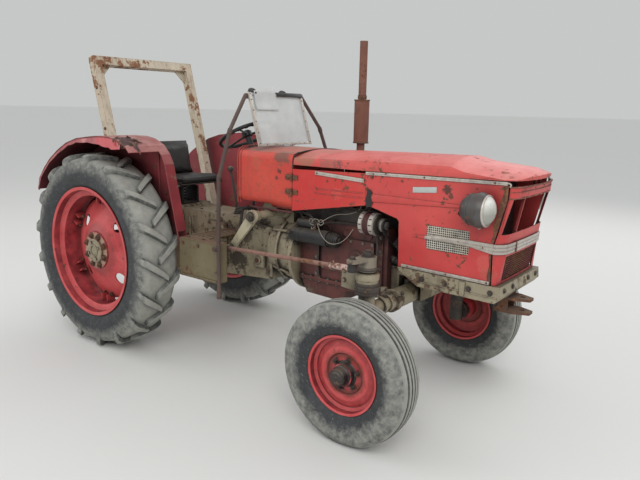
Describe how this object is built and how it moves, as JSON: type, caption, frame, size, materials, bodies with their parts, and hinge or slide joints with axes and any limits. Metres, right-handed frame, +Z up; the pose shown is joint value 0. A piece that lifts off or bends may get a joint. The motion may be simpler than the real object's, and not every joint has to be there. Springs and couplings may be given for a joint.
{
  "type": "vintage farm tractor, two-wheel drive, four cylinders",
  "caption": "Weathered red and cream farm tractor with lugged rear wheels, steered front wheels, tilting bonnet and rear lift linkage.",
  "frame": {"origin": "on the ground at the middle of the length and of the width", "axes": "+X forward, +Y to the driver's left, +Z up"},
  "size_m": [3.875, 1.715, 2.24],
  "materials": {
    "engine_paint": "dull, oily",
    "engine_iron": "greasy",
    "black_paint": "dull",
    "cast_alloy": "weathered",
    "rusty_steel": "rusty",
    "cream_paint": "chipped, oily",
    "red_paint": "chalked",
    "dark_mesh": "dull",
    "clear_sheet": "cloudy",
    "wing_paint": "chalked, rusty",
    "step_paint": "rust-streaked",
    "seat_vinyl": "worn",
    "black_plastic": "worn",
    "greasy_iron": "greasy",
    "rim_paint": "chalked",
    "tyre_rubber": "dusty",
    "lamp_paint": "worn",
    "frame_paint": "rusty"
  },
  "bodies": {
    "chassis": {"engine_block": "engine_paint", "cylinder_head": "engine_iron", "starter_motor": "black_paint", "alternator": "cast_alloy", "cooling_fan": "engine_iron", "injection_pump": "engine_iron", "exhaust_stack": "rusty_steel", "gearbox_housing": "cream_paint", "rear_axle_housing": "cream_paint", "front_bolster": "cream_paint", "front_axle_beam": "cream_paint", "radiator": "black_paint", "side_panels": "red_paint", "rear_doors": "red_paint", "nose_mask": "red_paint", "nose_mesh": "dark_mesh", "tank_cowl": "red_paint", "dashboard": "black_paint", "windscreen": "clear_sheet", "entry_hoops": "rusty_steel", "wings": "wing_paint", "foot_steps": "step_paint", "driver_seat": "seat_vinyl", "control_levers": "engine_iron", "front_clevis": "rusty_steel", "rear_drawbar": "greasy_iron", "headlamps": "lamp_paint", "roll_frame": "frame_paint"},
    "bonnet": {"bonnet_top": "red_paint"},
    "steering_wheel": {"steering_wheel": "black_plastic"},
    "drop_arm_right": {"drop_arm_right": "cream_paint"},
    "drop_arm_left": {"drop_arm_left": "cream_paint"},
    "drag_link_right": {"drag_link_right": "rusty_steel"},
    "drag_link_left": {"drag_link_left": "rusty_steel"},
    "knuckle_right": {"knuckle_right": "greasy_iron"},
    "knuckle_left": {"knuckle_left": "greasy_iron"},
    "front_wheel_right": {"front_rim_right": "rim_paint", "front_tyre_right": "tyre_rubber"},
    "front_wheel_left": {"front_rim_left": "rim_paint", "front_tyre_left": "tyre_rubber"},
    "rear_wheel_right": {"rear_rim_right": "rim_paint", "rear_tyre_right": "tyre_rubber"},
    "rear_wheel_left": {"rear_rim_left": "rim_paint", "rear_tyre_left": "tyre_rubber"},
    "lift_arms": {"lift_arms": "greasy_iron"},
    "lift_rods": {"lift_rods": "greasy_iron"},
    "lower_links": {"lower_links": "greasy_iron"}
  },
  "joints": [
    {"name": "rear_wheel_right_roll", "type": "hinge", "parent": "chassis", "child": "rear_wheel_right", "pos_m": [-1.0475, -0.7, 0.718], "axis": [0, 1, 0], "continuous": true},
    {"name": "rear_wheel_left_roll", "type": "hinge", "parent": "chassis", "child": "rear_wheel_left", "pos_m": [-1.0475, 0.7, 0.718], "axis": [0, 1, 0], "continuous": true},
    {"name": "knuckle_right_steer", "type": "hinge", "parent": "chassis", "child": "knuckle_right", "pos_m": [1.2325, -0.585, 0.655], "axis": [0, 0, 1], "range_deg": [-35, 35]},
    {"name": "knuckle_left_steer", "type": "hinge", "parent": "chassis", "child": "knuckle_left", "pos_m": [1.2325, 0.585, 0.655], "axis": [0, 0, 1], "range_deg": [-35.5, 35.5]},
    {"name": "front_wheel_right_roll", "type": "hinge", "parent": "knuckle_right", "child": "front_wheel_right", "pos_m": [1.2325, -0.7375, 0.4], "axis": [0, 1, 0], "continuous": true},
    {"name": "front_wheel_left_roll", "type": "hinge", "parent": "knuckle_left", "child": "front_wheel_left", "pos_m": [1.2325, 0.7375, 0.4], "axis": [0, 1, 0], "continuous": true},
    {"name": "drop_arm_right_swing", "type": "hinge", "parent": "chassis", "child": "drop_arm_right", "pos_m": [0.2425, -0.441, 1.09], "axis": [0, 1, 0], "range_deg": [-17.5, 17.5]},
    {"name": "drop_arm_left_swing", "type": "hinge", "parent": "chassis", "child": "drop_arm_left", "pos_m": [0.2425, 0.441, 1.09], "axis": [0, 1, 0], "range_deg": [-17.5, 17.5]},
    {"name": "drag_link_right_pin", "type": "hinge", "parent": "knuckle_right", "child": "drag_link_right", "pos_m": [1.2105, -0.7, 0.961], "axis": [0, 0, 1], "range_deg": [-35.5, 35.5]},
    {"name": "drag_link_left_pin", "type": "hinge", "parent": "knuckle_left", "child": "drag_link_left", "pos_m": [1.2105, 0.7, 0.961], "axis": [0, 0, 1], "range_deg": [-35.5, 35.5]},
    {"name": "steering_wheel_turn", "type": "hinge", "parent": "chassis", "child": "steering_wheel", "pos_m": [-0.2325, 0, 1.585], "axis": [-0.4695, 0, 0.8829], "range_deg": [-421, 421]},
    {"name": "bonnet_tilt", "type": "hinge", "parent": "chassis", "child": "bonnet", "pos_m": [1.9105, 0, 1.456], "axis": [0, 1, 0], "range_deg": [0, 60]},
    {"name": "lift_arms_raise", "type": "hinge", "parent": "chassis", "child": "lift_arms", "pos_m": [-1.3325, 0, 0.944], "axis": [0, 1, 0], "range_deg": [-8, 30]},
    {"name": "lower_links_swing", "type": "hinge", "parent": "chassis", "child": "lower_links", "pos_m": [-1.1875, 0, 0.5], "axis": [0, 1, 0], "range_deg": [-8.5, 30.5]},
    {"name": "lift_rods_pin", "type": "hinge", "parent": "lift_arms", "child": "lift_rods", "pos_m": [-1.6525, 0, 0.922], "axis": [0, 1, 0], "range_deg": [-30.5, 8.5]}
  ],
  "couplings": [
    {"joint": "knuckle_left_steer", "follows": "knuckle_right_steer", "ratio": 1},
    {"joint": "drop_arm_right_swing", "follows": "knuckle_right_steer", "ratio": -0.49},
    {"joint": "drop_arm_left_swing", "follows": "knuckle_right_steer", "ratio": 0.49},
    {"joint": "drag_link_right_pin", "follows": "knuckle_right_steer", "ratio": -1},
    {"joint": "drag_link_left_pin", "follows": "knuckle_right_steer", "ratio": -1},
    {"joint": "steering_wheel_turn", "follows": "knuckle_right_steer", "ratio": 12},
    {"joint": "lower_links_swing", "follows": "lift_arms_raise", "ratio": 1},
    {"joint": "lift_rods_pin", "follows": "lift_arms_raise", "ratio": -1}
  ]
}
